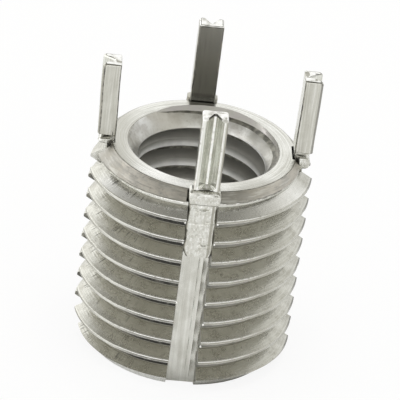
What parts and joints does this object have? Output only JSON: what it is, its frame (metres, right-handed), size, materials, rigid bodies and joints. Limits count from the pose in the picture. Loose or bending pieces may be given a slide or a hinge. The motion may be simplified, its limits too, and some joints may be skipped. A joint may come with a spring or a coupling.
{
  "type": "key-locking threaded insert",
  "caption": "Short stainless sleeve threaded inside and out, with slots holding upright locking keys that are driven down to stop it turning.",
  "frame": {"origin": "centre of the flat bottom face of the sleeve, on its axis", "axes": "+Z along the axis towards the keys, -Y towards the front key, +X towards the right key"},
  "size_m": [0.012, 0.012, 0.0167],
  "materials": {
    "turned_stainless": "fine turned stainless steel, satin with bright edges",
    "key_stainless": "drawn stainless wire, lightly scuffed, sheared bright at the ends"
  },
  "bodies": {
    "root": {"insert_body": "turned_stainless", "key_front": "key_stainless", "key_right": "key_stainless", "key_back": "key_stainless", "key_left": "key_stainless"}
  },
  "joints": []
}
